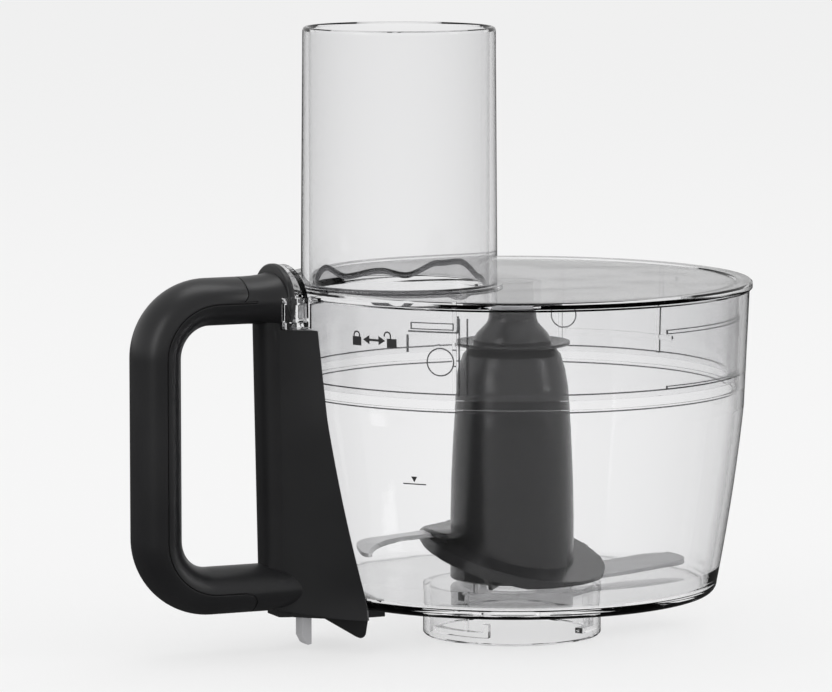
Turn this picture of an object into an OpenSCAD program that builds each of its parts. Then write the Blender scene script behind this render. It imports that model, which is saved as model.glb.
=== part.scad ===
// Food processor bowl attachment: clear bowl, clear lid with a feed tube, knife and black handle.
// The origin is on the bowl's axis at the underside of the base ring. +Z is up, the handle is at -X.

/* [Bowl] */
// Outer radius of the bowl at the rim
rim_r = 94.8; // [94:0.2:95.4]
// Outer radius at the lower end of the straight band that takes the lid
band_r = 92.8; // [92.4:0.2:93.2]
// Outer radius where the wall meets the rounded bottom edge
foot_r = 82.4; // [81:0.2:84]
// Height of the rim above the underside of the base ring
rim_z = 139.4; // [139:0.1:140]
// Height of the lower end of the straight band
band_z = 93; // [91:0.5:95]
// Height of the floor's underside
floor_lo = 17.6; // [17:0.1:18]
// Thickness of the floor
floor_t = 3.4; // [3:0.1:3.6]
// Thickness of the tapered wall
wall_t = 3.0; // [2.6:0.1:3.2]
// Thickness of the straight band
band_t = 2.4; // [2.2:0.1:2.5]
// Height of the ledge inside the wall, under the lid's skirt
ledge_z = 101; // [99:0.5:102]
// How far the tapered wall bellies out between its ends
belly = 0.8; // [0:0.1:1.2]
// Outer radius of the base ring that sits on the motor base
ring_r = 35.8; // [34:0.1:37]
// Wall of the base ring
ring_t = 2.8; // [2.4:0.1:3.4]

/* [Lid] */
// Outer radius of the lid's bead
bead_r = 96; // [95.6:0.1:96.2]
// Thickness of the bead
bead_h = 3.5; // [3:0.1:4]
// Thickness of the disc
disc_t = 2.4; // [2:0.1:2.6]
// Height of the lower edge of the skirt
skirt_z = 104.5; // [103:0.5:106]
// Bore radius of the feed tube
tube_bore_r = 35.8; // [34:0.1:36]
// Outer radius of the feed tube at its foot
tube_foot_r = 39; // [38.4:0.1:39.2]
// Outer radius of the feed tube at its mouth
tube_mouth_r = 38.2; // [37.8:0.1:38.4]
// Height of the feed tube's mouth
tube_top_z = 245; // [220:1:260]
// Distance of the feed tube's axis from the bowl's axis
tube_off = 49.6; // [49:0.1:50]

/* [Knife] */
// Radius of the hub over its lower half
hub_r = 24.8; // [24:0.1:25.2]
// Radius of the tilted carrier disc
carrier_r = 38; // [36:0.5:39]
// Tilt of the carrier disc, in degrees
carrier_tilt = 16.6; // [15:0.2:18]
// Thickness of the blades
blade_t = 1.6; // [1.2:0.1:1.8]

/* [Handle] */
// Half height of the grip's oval section, in the plane of the handle
grip_a = 9.3; // [8.6:0.1:9.6]
// Half width of the grip's oval section, across the handle
grip_b = 14; // [12:0.5:14]
// Radius of the grip's centreline at the corners
grip_bend_r = 21.5; // [20:0.5:23]
// Wall of the two grip shells
grip_wall = 2.4; // [2:0.1:3]
// Radius of the spine's rounded outer edge
nose_r = 10; // [9.6:0.1:10.2]
// Wall of the spine
spine_wall = 2.2; // [2:0.1:2.3]

/* [Lid interlock] */
// Turn of the lid from locked to open, in degrees
turn = 12; // [10:1:12]
// Travel of the interlock rod over that turn
rod_travel = 4; // [3.5:0.1:4]

/* [Hidden] */
$fn = 96;
floor_hi = floor_lo + floor_t;
edge_r = 4.2;               // rounding of the bottom edge
foot_z = floor_lo + edge_r; // where the tapered wall starts
ring_in = ring_r - ring_t;
wall_steps = 14;

chimney_r = 14;             // chimney that stands up inside the hub
chimney_bore = 11.5;
chimney_top = 97;
lug_count = 3;              // bayonet lugs inside the base ring
lug_arc = 45;
lug_from = 180;

bead_z = rim_z + 0.1;       // underside of the bead, just off the rim
bead_top = bead_z + bead_h;
disc_z = bead_z + 0.5;      // underside of the disc
disc_top = disc_z + disc_t;
skirt_t = 2.2;
skirt_top_r = 90.8;         // outer radius of the skirt under the disc
skirt_low_r = 90.0;         // and at its lower edge
boss_r = 11.5;              // boss under the disc that holds the bush
boss_z = 131;
bush_r = 8.5;
pin_r = 4.5;                // top pin of the knife
pin_gap = 0.05;             // running clearance, on the radius
pin_top = 138.8;

hub_lo = 22.6;
hub_hi = 115.4;
hub_bore = 20;
run_r = 16;                 // radius on which the knife runs
run_lo = 82;
run_hi = 100;
socket_r = 11;
socket_hi = 112;
drive_r = 6;                // bore of the drive socket
drive_depth = 10;
spline_count = 3;
spline_w = 1.8;
spline_d = 1.2;
collar_r = 23.1;
dome_r = 15.5;
cap_top = 130.2;

low_dir = -59.7;            // direction in which the carrier disc slopes down
carrier_z = 33.3;
carrier_t = 4.6;
upper_dir = -169;           // direction of the upper blade
lower_dir = 6;              // direction of the lower blade
upper_z = 41.6;
lower_z = 22.9;
upper_droop = 2.5;          // the upper blade falls towards its tip, in degrees
root_in = 3;                // how far a blade's root goes into the hub's wall

deck_z = 128;               // top of the spine, under the lid's locking tab
deck_t = 3.5;
spine_lo = 14;
nose_x_hi = 101.7;          // axis of the rounded edge at the top of the spine
nose_x_lo = 99.3;           // and at its bottom
flare_hi = 19;              // half width of the spine on the wall at the top
flare_lo = 31;              // and at the bottom
guard_x0 = 104.6;           // outer face of the thumb guard
guard_x1 = 101.7;           // inner face of the thumb guard
guard_rise = 4.5;           // how far the guard stands out round the arm
arm_hi_z = 139.3;
arm_lo_z = 25.2;
bend_x = 132;               // centres of the two corners
cover_hi_x = 118.5;         // end of the cover on the upper arm
cover_lo_x = 115.5;         // end of the cover on the lower arm
bend_hi_z = arm_hi_z - grip_bend_r;
bend_lo_z = arm_lo_z + grip_bend_r;

tab_r0 = 95.5;              // locking tab of the lid
tab_r1 = 101.2;
tab_from = 168;
tab_to = 188;
tab_lo = 129.2;
stop_x0 = 97.5;             // stop block of the lid, on the near side of the handle's root
stop_x1 = 108;
stop_y0 = 19.4;
stop_y1 = 24;
stop_lo = 129.6;
stop_hi = 141.6;
fin_r0 = 98.4;
fin_r1 = 100.8;

rod_hi = [-98.6, -4.5];     // centre of the rod's upper stretch
rod_lo = [-93.6, -6.25];    // centre of the rod's lower stretch
rod_mid = [-97, -5];        // centre of the round stretch inside the spring
rod_hi_size = [3.6, 6];
rod_lo_size = [4, 6.5];
rod_shaft_r = 2.5;
rod_top = 129.3;
rod_bottom = 2.4;
shelf_z = 46.5;             // shelf in the spine that the spring stands on
shelf_t = 3;
washer_z = 80;
washer_t = 1.5;
slide_gap = 0.35;
rod_dir = asin(rod_hi[1] / rod_hi[0]); // how far the rod stands off the handle's line
cam_slope = rod_travel / (-rod_hi[0] * (sin(turn - rod_dir) + sin(rod_dir)));
cam_over_rod = 1;           // height of the cam over the middle of the rod's top

foot_plate_z = 13.6;
foot_plate_t = 3.2;
screw_x = 72;
screw_y = 14;
screw_shank_r = 1.25;
screw_head_r = 2.9;

clear = [0.86, 0.88, 0.9, 0.35];
black = [0.13, 0.13, 0.14];
grey = [0.56, 0.57, 0.58];
steel = [0.72, 0.73, 0.75];

function lerp(a, b, t) = a + (b - a) * t;

// Points of a circular arc
function arc(c, r, a0, a1, n) = [for (i = [0:n]) let (a = lerp(a0, a1, i / n)) c + r * [cos(a), sin(a)]];

// Points of a cubic curve, without its first point
function curve(p, n) = [for (i = [1:n]) let (t = i / n, s = 1 - t)
    s * s * s * p[0] + 3 * s * s * t * p[1] + 3 * s * t * t * p[2] + t * t * t * p[3]];

// Outer radius of the bowl's wall at height z
function wall_r(z) = z >= band_z
    ? lerp(band_r, rim_r, (z - band_z) / (rim_z - band_z))
    : let (t = (z - foot_z) / (band_z - foot_z)) lerp(foot_r, band_r, t) + 4 * belly * t * (1 - t);

// ---- bowl ----

function outer_wall(gap = 0) = concat(
    [for (i = [0:wall_steps]) let (z = lerp(foot_z, band_z, i / wall_steps)) [wall_r(z) + gap, z]],
    [[rim_r + gap, rim_z]]);

function inner_wall() = concat(
    [[rim_r - band_t, rim_z], [wall_r(ledge_z) - band_t, ledge_z]],
    [[wall_r(ledge_z) - wall_t - 0.6, ledge_z]],
    [for (i = [wall_steps:-1:1]) let (z = lerp(foot_z + 2, band_z, i / wall_steps)) [wall_r(z) - wall_t, z]]);

function bowl_profile() = concat(
    [[chimney_bore, floor_lo], [ring_in, floor_lo], [ring_in, 0.6], [ring_in + 0.6, 0]],
    [[ring_r - 0.6, 0], [ring_r, 0.6], [ring_r, floor_lo]],
    arc([foot_r - edge_r, foot_z], edge_r, -90, -12, 6),
    outer_wall(),
    inner_wall(),
    arc([foot_r - wall_t - 3, floor_hi + 3], 3, -10, -90, 5),
    [[chimney_r + 2, floor_hi], [chimney_r, floor_hi + 2], [chimney_r, chimney_top]],
    [[chimney_bore, chimney_top]]);

// The space that the bowl takes up, with a little room round it
module bowl_space(gap) {
    rotate_extrude() polygon(concat(
        [[0, floor_lo - gap], [foot_r - edge_r, floor_lo - gap]],
        arc([foot_r - edge_r, foot_z], edge_r + gap, -60, -12, 4),
        outer_wall(gap),
        [[rim_r + gap, rim_z + 20], [0, rim_z + 20]]));
}

// Upright rib on the wall that the handle slides over
module handle_rail() {
    rail_w = 5;
    rail_out = 3.2;
    rail_y = 4;
    zs = [for (i = [0:6]) lerp(52, 118, i / 6)];
    translate([0, rail_y + rail_w / 2, 0]) rotate([90, 0, 0]) linear_extrude(rail_w)
        polygon(concat([for (z = zs) [-wall_r(z) - rail_out, z]],
            [for (i = [6:-1:0]) [-wall_r(zs[i]) + 1, zs[i]]]));
}

module bayonet_lugs() {
    for (i = [0:lug_count - 1]) rotate([0, 0, lug_from + i * 360 / lug_count]) {
        rotate_extrude(angle = lug_arc) translate([ring_in - 3, 2.5]) square([3.2, 2.2]);
        rotate([0, 0, lug_arc]) rotate_extrude(angle = 4) translate([ring_in - 3, 2.5]) square([3.2, 5.5]);
        rotate([0, 0, lug_arc * 0.7]) rotate_extrude(angle = 2) translate([ring_in - 1.5, 4.7])
            square([1.7, floor_lo - 4.5]);
    }
}

module screw_places() {
    for (side = [-1, 1]) translate([-screw_x, side * screw_y, 0]) children();
}

module bowl() {
    boss_lo = foot_plate_z + foot_plate_t;
    color(clear) difference() {
        union() {
            rotate_extrude($fn = 180) polygon(bowl_profile());
            handle_rail();
            bayonet_lugs();
            screw_places() translate([0, 0, boss_lo]) cylinder(r = 4, h = floor_lo - boss_lo + 0.2);
        }
        screw_places() translate([0, 0, boss_lo - 1]) cylinder(r = screw_shank_r, h = 4.4);
    }
}

module chimney_sleeve() {
    lip_r = 8;
    color(grey) rotate_extrude() polygon([[chimney_r, run_lo + 2], [run_r - 0.5, run_lo + 2],
        [run_r, run_lo + 2.5], [run_r, run_hi - 0.7], [run_r - 0.5, run_hi - 0.2],
        [lip_r, run_hi - 0.2], [lip_r, chimney_top],
        [chimney_r, chimney_top]]);
}

// ---- handle ----

// Section of the spine: a rounded outer edge and two flanks that flare to the wall at radius r,
// and on past it by the share that reach is over 1
function spine_section(nose_x, nose, half, r, reach) = let (
        back = sqrt(r * r - half * half),
        px = nose_x + (back - nose_x) * reach,
        py = nose_r + (half - nose_r) * reach - (nose_r - nose) * 1.35)
    concat([[-px, py]], arc([-nose_x, 0], nose, 90, 270, 24), [[-px, -py]]);

module spine_loft(inset, z0, z1, reach) {
    hull() {
        translate([0, 0, z0]) linear_extrude(0.01)
            polygon(spine_section(nose_x_lo, nose_r - inset, flare_lo, wall_r(foot_z), reach));
        translate([0, 0, z1 - 0.01]) linear_extrude(0.01)
            polygon(spine_section(nose_x_hi, nose_r - inset, flare_hi, wall_r(deck_z), reach));
    }
}

// Oval section of the grip: half is 1 for its outer half, -1 for its inner half and 0 for all of it
module grip_section(inset, half) {
    a = grip_a - inset;
    b = grip_b - inset;
    from = half == 1 ? -90 : half == -1 ? 90 : 0;
    sweep = half == 0 ? 354 : 180;
    polygon([for (i = [0:6:sweep]) [a * cos(from + i), b * sin(from + i)]]);
}

module arm(x0, x1, z, outward) {
    translate([-x0, 0, z]) rotate([0, -90, 0]) linear_extrude(x1 - x0)
        mirror([outward < 0 ? 1 : 0, 0]) children();
}

module bend(z, from) {
    translate([-bend_x, 0, z]) rotate([90, 0, 0]) rotate([0, 0, from]) rotate_extrude(angle = 90)
        translate([grip_bend_r, 0]) children();
}

// Grip from the upper arm round to the lower arm
module grip_run(inset, half, x_hi, x_lo) {
    arm(x_hi, bend_x, arm_hi_z, 1) grip_section(inset, half);
    bend(bend_hi_z, 90) grip_section(inset, half);
    translate([-bend_x - grip_bend_r, 0, bend_lo_z]) linear_extrude(bend_hi_z - bend_lo_z)
        mirror([1, 0]) grip_section(inset, half);
    bend(bend_lo_z, 180) grip_section(inset, half);
    arm(x_lo, bend_x, arm_lo_z, -1) grip_section(inset, half);
}

// Upright bar about a centre
module bar(centre, size, z0, z1) {
    translate([centre[0] - size[0] / 2, centre[1] - size[1] / 2, z0]) cube([size[0], size[1], z1 - z0]);
}

module handle_body() {
    shelf_hole_r = rod_shaft_r + 0.4;
    guide = rod_hi_size + [2.8, 3];
    color(black) {
        difference() {
            spine_loft(0, spine_lo, deck_z, 1.12);
            difference() {
                spine_loft(spine_wall, spine_lo - 0.1, deck_z - deck_t, 1.25);
                translate([-120, -50, shelf_z]) cube([60, 100, shelf_t]);
            }
            bowl_space(0.15);
            translate([rod_mid[0], rod_mid[1], shelf_z - 1]) cylinder(r = shelf_hole_r, h = shelf_t + 2);
            bar(rod_hi, guide, deck_z - 8, deck_z + 2);
        }
        difference() {
            translate([0, 0, deck_z]) linear_extrude(arm_hi_z - deck_z)
                polygon(arc([-nose_x_hi, 0], nose_r, 90, 270, 24));
            translate([-guard_x0, -50, deck_z]) cube([40, 100, 40]);
        }
        arm(guard_x0, cover_hi_x, arm_hi_z, 1) grip_section(0, 0);
        arm(nose_x_lo + 5, cover_lo_x, arm_lo_z, -1) grip_section(0, 0);
        difference() {
            grip_run(0, -1, cover_hi_x, cover_lo_x);
            grip_run(grip_wall, -1, cover_hi_x - 1, cover_lo_x - 1);
        }
    }
}

module grip_cover() {
    color(black) difference() {
        grip_run(0, 1, cover_hi_x, cover_lo_x);
        grip_run(grip_wall, 1, cover_hi_x - 1, cover_lo_x - 1);
    }
}

module thumb_guard() {
    rise = grip_a + guard_rise;
    half = grip_b + guard_rise;
    color(black) intersection() {
        translate([-guard_x1, 0, arm_hi_z]) rotate([0, -90, 0]) linear_extrude(guard_x0 - guard_x1)
            polygon([for (i = [0:5:355]) [rise * cos(i), half * sin(i)]]);
        translate([-120, -50, deck_z + 0.05]) cube([60, 100, 40]);
    }
}

module handle_foot() {
    foot_gap = 0.25;
    foot_out = 104;
    fin_y = -9.5;
    fin_t = 3;
    color(black) difference() {
        union() {
            translate([0, 0, foot_plate_z]) linear_extrude(foot_plate_t) union() {
                intersection() {
                    polygon(spine_section(nose_x_lo, nose_r - spine_wall - foot_gap, flare_lo,
                        wall_r(foot_z), 1));
                    translate([-foot_out, -50]) square([foot_out - 80, 100]);
                }
                translate([-82, -21]) square([17, 42]);
            }
            translate([0, fin_y + fin_t / 2, 0]) rotate([90, 0, 0]) linear_extrude(fin_t) polygon(concat(
                [[-67.5, foot_plate_z + 0.1], [-88, foot_plate_z + 0.1]],
                arc([-71, 6], 2.2, 236, 350, 8)));
        }
        bar(rod_lo, rod_lo_size + 2 * [slide_gap, slide_gap], 0, 30);
        screw_places() {
            translate([0, 0, foot_plate_z - 1]) cylinder(r = screw_shank_r + 0.35, h = 6);
            translate([0, 0, foot_plate_z - 1]) cylinder(r = screw_head_r + 0.2, h = 2.7);
        }
    }
}

module foot_screws() {
    head_z = foot_plate_z + 0.1;
    head_h = 1.6;
    color(steel) screw_places() {
        translate([0, 0, head_z + head_h]) cylinder(r = screw_shank_r, h = 4.4);
        difference() {
            translate([0, 0, head_z]) cylinder(r = screw_head_r, h = head_h);
            for (a = [0, 90]) rotate([0, 0, a]) translate([-1.8, -0.35, head_z - 0.5]) cube([3.6, 0.7, 1.3]);
        }
    }
}

// ---- interlock ----

module rod_guide() {
    outer = rod_hi_size + [2.8, 3];
    inner = rod_hi_size + [2 * slide_gap, 2 * slide_gap];
    color(grey) translate([rod_hi[0], rod_hi[1], deck_z - 6]) linear_extrude(6) difference() {
        square(outer, center = true);
        square(inner, center = true);
    }
}

module interlock_rod() {
    shoulder_hi = washer_z + washer_t;
    shoulder_lo = shelf_z - rod_travel - 1.5;
    toe = 3.6;
    half = rod_lo_size[0] / 2;
    color(grey) {
        bar(rod_hi, rod_hi_size, shoulder_hi, rod_top);
        bar((rod_hi + rod_mid) / 2, [5.6, 6], shoulder_hi, shoulder_hi + 4);
        translate([rod_mid[0], rod_mid[1], shoulder_lo - 2])
            cylinder(r = rod_shaft_r, h = shoulder_hi - shoulder_lo + 3);
        bar([-95.6, -6], [8, 7], shoulder_lo - 4, shoulder_lo);
        // The lower end is cut back on its outer side
        translate([rod_lo[0], rod_lo[1] + rod_lo_size[1] / 2, 0]) rotate([90, 0, 0])
            linear_extrude(rod_lo_size[1]) polygon([[-half, shoulder_lo - 1], [-half, rod_bottom + toe],
                [-half + 1.6, rod_bottom + 0.6], [0.4, rod_bottom], [half, rod_bottom + 0.3],
                [half, shoulder_lo - 1]]);
    }
}

// Points of one ring of the spring's wire at turn angle a and height z
function wire_ring(a, z, coil_r, wire_r, sides) = [for (i = [0:sides - 1]) let (b = 360 * i / sides,
    r = coil_r + wire_r * cos(b)) [r * cos(a), r * sin(a), z + wire_r * sin(b)]];

module interlock_spring() {
    coil_r = 3.5;
    wire_r = 0.45;
    sides = 6;
    per_turn = 14;
    turns = 7;
    z0 = shelf_z + shelf_t + wire_r;
    z1 = washer_z - wire_r;
    rings = turns * per_turn;
    points = [for (k = [0:rings])
        each wire_ring(360 * k / per_turn, lerp(z0, z1, k / rings), coil_r, wire_r, sides)];
    skin = [for (k = [0:rings - 1]) for (i = [0:sides - 1]) let (j = (i + 1) % sides)
        [k * sides + i, (k + 1) * sides + i, (k + 1) * sides + j, k * sides + j]];
    ends = [[for (i = [0:sides - 1]) i], [for (i = [sides - 1:-1:0]) rings * sides + i]];
    color(steel) translate([rod_mid[0], rod_mid[1], 0])
        polyhedron(points, concat(skin, ends), convexity = 10);
}

module spring_washer() {
    color(steel) translate([rod_mid[0], rod_mid[1], washer_z]) difference() {
        cylinder(r = 4.3, h = washer_t);
        translate([0, 0, -1]) cylinder(r = rod_shaft_r + 0.05, h = washer_t + 2);
    }
}

// ---- lid ----

// Part of the lid's locking tab above the cam: it rises from the rod towards +Y
module above_cam() {
    far = 60;
    y0 = rod_hi[1];
    z0 = rod_top + cam_over_rod;
    translate([-130, 0, 0]) rotate([90, 0, 90]) linear_extrude(60) polygon([[-far, tab_lo],
        [y0 - (z0 - tab_lo) / cam_slope, tab_lo], [y0 + far, z0 + far * cam_slope],
        [y0 + far, tube_top_z], [-far, tube_top_z]]);
}

module tab_sector(r0, r1, z0, z1, from, to) {
    rotate([0, 0, from]) rotate_extrude(angle = to - from, $fn = 180)
        translate([r0, z0]) square([r1 - r0, z1 - z0]);
}

module locking_tab() {
    rise = grip_a + guard_rise - 0.4;
    half = grip_b + guard_rise;
    intersection() {
        difference() {
            tab_sector(tab_r0, tab_r1, tab_lo, bead_top - 1, tab_from, tab_to);
            tab_sector(tab_r0 + 1.5, tab_r1 - 1.4, tab_lo + 3, bead_top - 4.5, tab_to - 5, tab_to + 1);
        }
        above_cam();
    }
    // Hollow stop block beside the handle's root, and its arm to the bead
    difference() {
        translate([-stop_x1, -stop_y1, stop_lo])
            cube([stop_x1 - stop_x0, stop_y1 - stop_y0, stop_hi - stop_lo]);
        translate([-stop_x1 + 2, -stop_y1 - 1, stop_lo + 2.4])
            cube([stop_x1 - stop_x0 - 4, stop_y1 - stop_y0 - 0.4, stop_hi - stop_lo - 5]);
    }
    tab_sector(94, 100.5, bead_z + 0.2, bead_z + 1.8, 191.6, 194);
    intersection() {
        tab_sector(fin_r0, fin_r1, bead_top - 4, bead_top + 20, tab_from, tab_to + 4);
        translate([-80, 0, arm_hi_z]) rotate([0, -90, 0]) linear_extrude(40)
            polygon([for (i = [0:5:355]) [rise * cos(i), half * sin(i)]]);
    }
}

module lid() {
    rib_t = 1;
    color(clear) {
        difference() {
            rotate_extrude($fn = 180) polygon([[bush_r, boss_z], [boss_r - 0.4, boss_z],
                [boss_r, boss_z + 0.4], [boss_r, disc_z], [skirt_top_r - skirt_t, disc_z],
                [skirt_low_r - skirt_t, skirt_z],
                [skirt_low_r, skirt_z], [skirt_top_r, bead_z], [bead_r - 0.8, bead_z], [bead_r, bead_z + 0.8],
                [bead_r, bead_top - 0.8], [bead_r - 0.8, bead_top], [89.4, bead_top], [88.8, disc_top],
                [0, disc_top], [0, disc_top - 1.6], [bush_r, disc_top - 1.6]]);
            translate([-tube_off, 0, disc_z - 1]) cylinder(r = tube_bore_r, h = 10, $fn = 180);
        }
        difference() {
            translate([-tube_off, 0, disc_top - 0.2]) cylinder(r = tube_foot_r + 2.2, h = 1.2, $fn = 180);
            translate([-tube_off, 0, disc_top - 1]) cylinder(r = tube_foot_r + 0.02, h = 4, $fn = 180);
            translate([-tube_off, 0, disc_top - 1]) cylinder(r = tube_bore_r, h = 4, $fn = 180);
        }
        locking_tab();
        // Stiffening ribs on the inside of the skirt
        for (a = [20, 51, 230, 320]) tab_sector(86.8, 88.4, skirt_z + 2, disc_z + 0.5, a, a + rib_t);
        tab_sector(87.1, 88.2, 112, 114, 15, 50);
        tab_sector(87.3, 88.8, 134, 136, 15, 38);
    }
}

module feed_tube() {
    foot = disc_top;
    color(clear) translate([-tube_off, 0, 0]) rotate_extrude($fn = 180) polygon([[tube_bore_r, foot],
        [tube_foot_r, foot], [tube_mouth_r, tube_top_z - 1.4], [tube_mouth_r - 0.4, tube_top_z - 0.4],
        [tube_mouth_r - 1, tube_top_z], [tube_bore_r + 0.6, tube_top_z], [tube_bore_r, tube_top_z - 0.8]]);
}

module lid_bush() {
    color(grey) translate([0, 0, boss_z + 0.2]) difference() {
        cylinder(r = bush_r - 0.05, h = disc_top - 1.8 - boss_z - 0.2);
        translate([0, 0, -1]) cylinder(r = pin_r + pin_gap, h = 20);
    }
}

// ---- knife ----

// Outlines of the blades along +X: a straight back, a rounded outer end, a hooked tip and a
// hollow cutting edge
function upper_outline() = concat([[19.5, -12.4]],
    curve([[19.5, -12.4], [34, -14.2], [48, -15.2], [60.5, -14.9]], 6),
    curve([[60.5, -14.9], [67.5, -14], [71.5, -5], [75.5, 3]], 8),
    curve([[75.5, 3], [77.2, 6.5], [79.4, 10.5], [79, 13.4]], 5),
    curve([[79, 13.4], [78.8, 14.8], [77.6, 15], [76.8, 13.8]], 3),
    curve([[76.8, 13.8], [70, 3], [60, -5.5], [48.9, -5.8]], 10),
    [[30, -4.4], [19.5, -4.2]]);

function lower_outline() = concat([[15, -13.5], [24, -24.5]],
    curve([[24, -24.5], [38, -19.5], [52, -13.5], [66, -9.5]], 8),
    curve([[66, -9.5], [74.5, -8.5], [77.5, -4], [77, 1]], 6),
    curve([[77, 1], [76.4, 5], [75, 8.4], [72.6, 8.6]], 5),
    curve([[72.6, 8.6], [64, 8.4], [54, 7.2], [46, 4]], 8),
    [[38, 1], [30, 0], [20.5, -1]]);

module blade_at(dir, z, droop, outline) {
    rotate([0, 0, dir]) translate([hub_r, 0, z]) rotate([0, droop, 0]) translate([-hub_r, 0, 0])
        linear_extrude(blade_t) polygon(outline);
}

module upper_blade_shape() {
    difference() {
        blade_at(upper_dir, upper_z, upper_droop, upper_outline());
        cylinder(r = hub_r - root_in, h = 80);
    }
}

module lower_blade_shape() {
    difference() {
        blade_at(lower_dir, lower_z, 0, lower_outline());
        cylinder(r = hub_r - root_in, h = 80);
    }
}

module upper_blade() {
    color(steel) upper_blade_shape();
}

module lower_blade() {
    color(steel) lower_blade_shape();
}

module knife_hub() {
    color(black) difference() {
        rotate_extrude($fn = 120) polygon([[hub_bore, hub_lo], [hub_r - 0.6, hub_lo],
            [hub_r, hub_lo + 0.6], [hub_r, 48], [24.5, 62], [24, 74], [23.3, 88], [22.4, 100],
            [21.2, 107], [19.4, 113], [17.4, hub_hi], [0, hub_hi],
            [0, socket_hi], [socket_r, socket_hi], [socket_r, run_hi], [run_r + pin_gap, run_hi],
            [run_r + pin_gap, run_lo], [hub_bore, run_lo - 4]]);
        upper_blade_shape();
        lower_blade_shape();
    }
}

module blade_carrier() {
    web_t = 1.6;
    web_dir = -129;
    carrier_lo = 23.2;
    color(black) difference() {
        union() {
            intersection() {
                rotate([0, 0, low_dir]) translate([0, 0, carrier_z]) rotate([0, carrier_tilt, 0])
                    translate([0, 0, -carrier_t / 2]) cylinder(r = carrier_r, h = carrier_t);
                translate([0, 0, carrier_lo]) cylinder(r = 60, h = upper_z - carrier_lo);
            }
            // Small upright web that stiffens the disc from below
            rotate([0, 0, web_dir]) translate([hub_r - 0.5, -web_t / 2, hub_lo]) cube([11, web_t, 7]);
        }
        cylinder(r = hub_r, h = 80, $fn = 120);
        upper_blade_shape();
        lower_blade_shape();
    }
}

module hub_collar() {
    color(black) rotate_extrude() polygon([[9, hub_hi], [17, hub_hi], [collar_r - 0.6, hub_hi + 1.4],
        [collar_r, hub_hi + 1.9], [collar_r, hub_hi + 2.8], [collar_r - 0.8, hub_hi + 2.8],
        [16.5, hub_hi + 1.6],
        [9, hub_hi + 1.6]]);
}

module hub_cap() {
    base = hub_hi + 1.6;
    color(black) difference() {
        rotate_extrude() polygon(concat([[0, hub_hi], [9, hub_hi], [9, base], [dome_r, base],
            [dome_r, base + 1.8]],
            curve([[dome_r, base + 1.8], [14.2, base + 6], [10.2, base + 7], [9.6, base + 10.5]], 8),
            [[9.4, cap_top - 0.5], [8.9, cap_top], [0, cap_top]]));
        translate([0, 0, hub_hi + 3]) cylinder(r = pin_r, h = 40);
    }
}

module hub_pin() {
    color(steel) translate([0, 0, hub_hi + 3]) rotate_extrude() polygon([[0, 0], [pin_r, 0],
        [pin_r, pin_top - hub_hi - 3.8], [pin_r - 0.8, pin_top - hub_hi - 3], [0, pin_top - hub_hi - 3]]);
}

module drive_socket() {
    color(grey) difference() {
        translate([0, 0, run_hi]) cylinder(r = socket_r, h = socket_hi - run_hi);
        translate([0, 0, run_hi - 1]) cylinder(r = drive_r, h = drive_depth + 1);
        for (i = [0:spline_count - 1]) rotate([0, 0, i * 360 / spline_count])
            translate([0, -spline_w / 2, run_hi - 1]) cube([drive_r + spline_d, spline_w, drive_depth + 1]);
    }
}

bowl();
chimney_sleeve();
handle_body();
grip_cover();
thumb_guard();
handle_foot();
foot_screws();
rod_guide();
interlock_rod();
interlock_spring();
spring_washer();
lid();
feed_tube();
lid_bush();
knife_hub();
blade_carrier();
upper_blade();
lower_blade();
hub_collar();
hub_cap();
hub_pin();
drive_socket();
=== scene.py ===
# Food processor bowl attachment: clear bowl, clear lid with a feed tube, black handle and knife.
# The pieces follow in the order in which the real ones go together. All sizes are in metres.
import math
import bmesh
import bpy
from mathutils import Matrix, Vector


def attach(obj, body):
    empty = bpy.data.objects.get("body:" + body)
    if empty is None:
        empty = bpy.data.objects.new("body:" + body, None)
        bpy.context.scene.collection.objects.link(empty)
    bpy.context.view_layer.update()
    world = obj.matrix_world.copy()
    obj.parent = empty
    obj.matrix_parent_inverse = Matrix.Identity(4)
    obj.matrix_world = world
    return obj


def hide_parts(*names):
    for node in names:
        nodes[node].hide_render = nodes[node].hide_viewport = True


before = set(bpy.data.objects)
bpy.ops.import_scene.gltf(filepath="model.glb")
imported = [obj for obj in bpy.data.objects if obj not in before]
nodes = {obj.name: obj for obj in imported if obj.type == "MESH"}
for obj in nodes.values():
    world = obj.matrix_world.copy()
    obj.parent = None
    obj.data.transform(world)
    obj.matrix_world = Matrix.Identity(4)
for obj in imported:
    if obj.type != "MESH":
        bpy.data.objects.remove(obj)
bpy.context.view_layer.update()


# ---- Camera, table and lamps ----
# A long lens looks a little down on the object. It stands on a pale table under a bright even
# sky, with soft boxes that draw the highlights on the plastic. The table mirrors darker than it looks.
def deselect():
    """Leaves edit mode and selects nothing"""
    if bpy.context.mode != "OBJECT":
        bpy.ops.object.mode_set(mode="OBJECT")
    bpy.ops.object.select_all(action="DESELECT")


deselect()
bpy.ops.object.camera_add(location=(-0.9197, -1.9722, 0.3622),
                          rotation=(math.radians(83.54), 0, math.radians(-23.984)))
camera = bpy.context.object
camera.name = "camera"
camera.data.lens = 236.4
camera.data.sensor_width = 36
camera.data.clip_end = 100
bpy.context.scene.camera = camera
bpy.context.scene.view_settings.view_transform = "Standard"



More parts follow.
